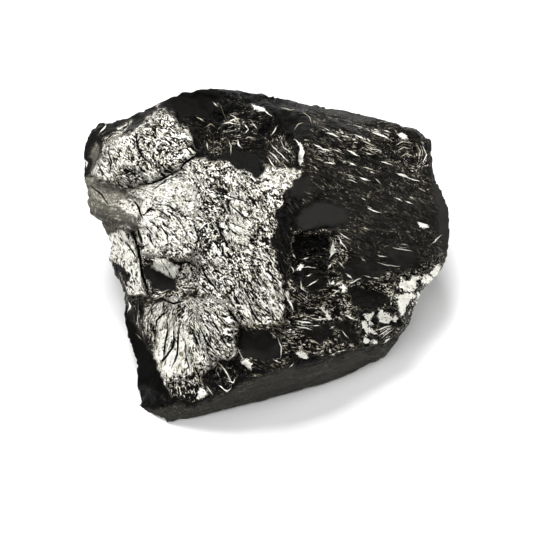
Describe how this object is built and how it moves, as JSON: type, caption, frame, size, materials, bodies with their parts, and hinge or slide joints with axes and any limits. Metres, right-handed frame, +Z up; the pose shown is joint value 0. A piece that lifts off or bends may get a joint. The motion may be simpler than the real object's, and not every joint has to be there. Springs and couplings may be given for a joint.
{
  "type": "shungite nugget",
  "caption": "Rough nugget of glassy black carbon with a stepped, cracked and faceted broken face, lying on one flat side.",
  "frame": {"origin": "centre of the bounding box in plan, on the plane of the flat side that the nugget lies on", "axes": "+Z up; +X along the nugget's longest extent; the broken face looks towards -Y and up, about 50 degrees above the horizon"},
  "size_m": [0.05, 0.0458, 0.0217],
  "materials": {
    "shungite": "glassy black carbon, half-metallic on fresh breaks"
  },
  "bodies": {
    "root": {"nugget": "shungite"}
  },
  "joints": []
}
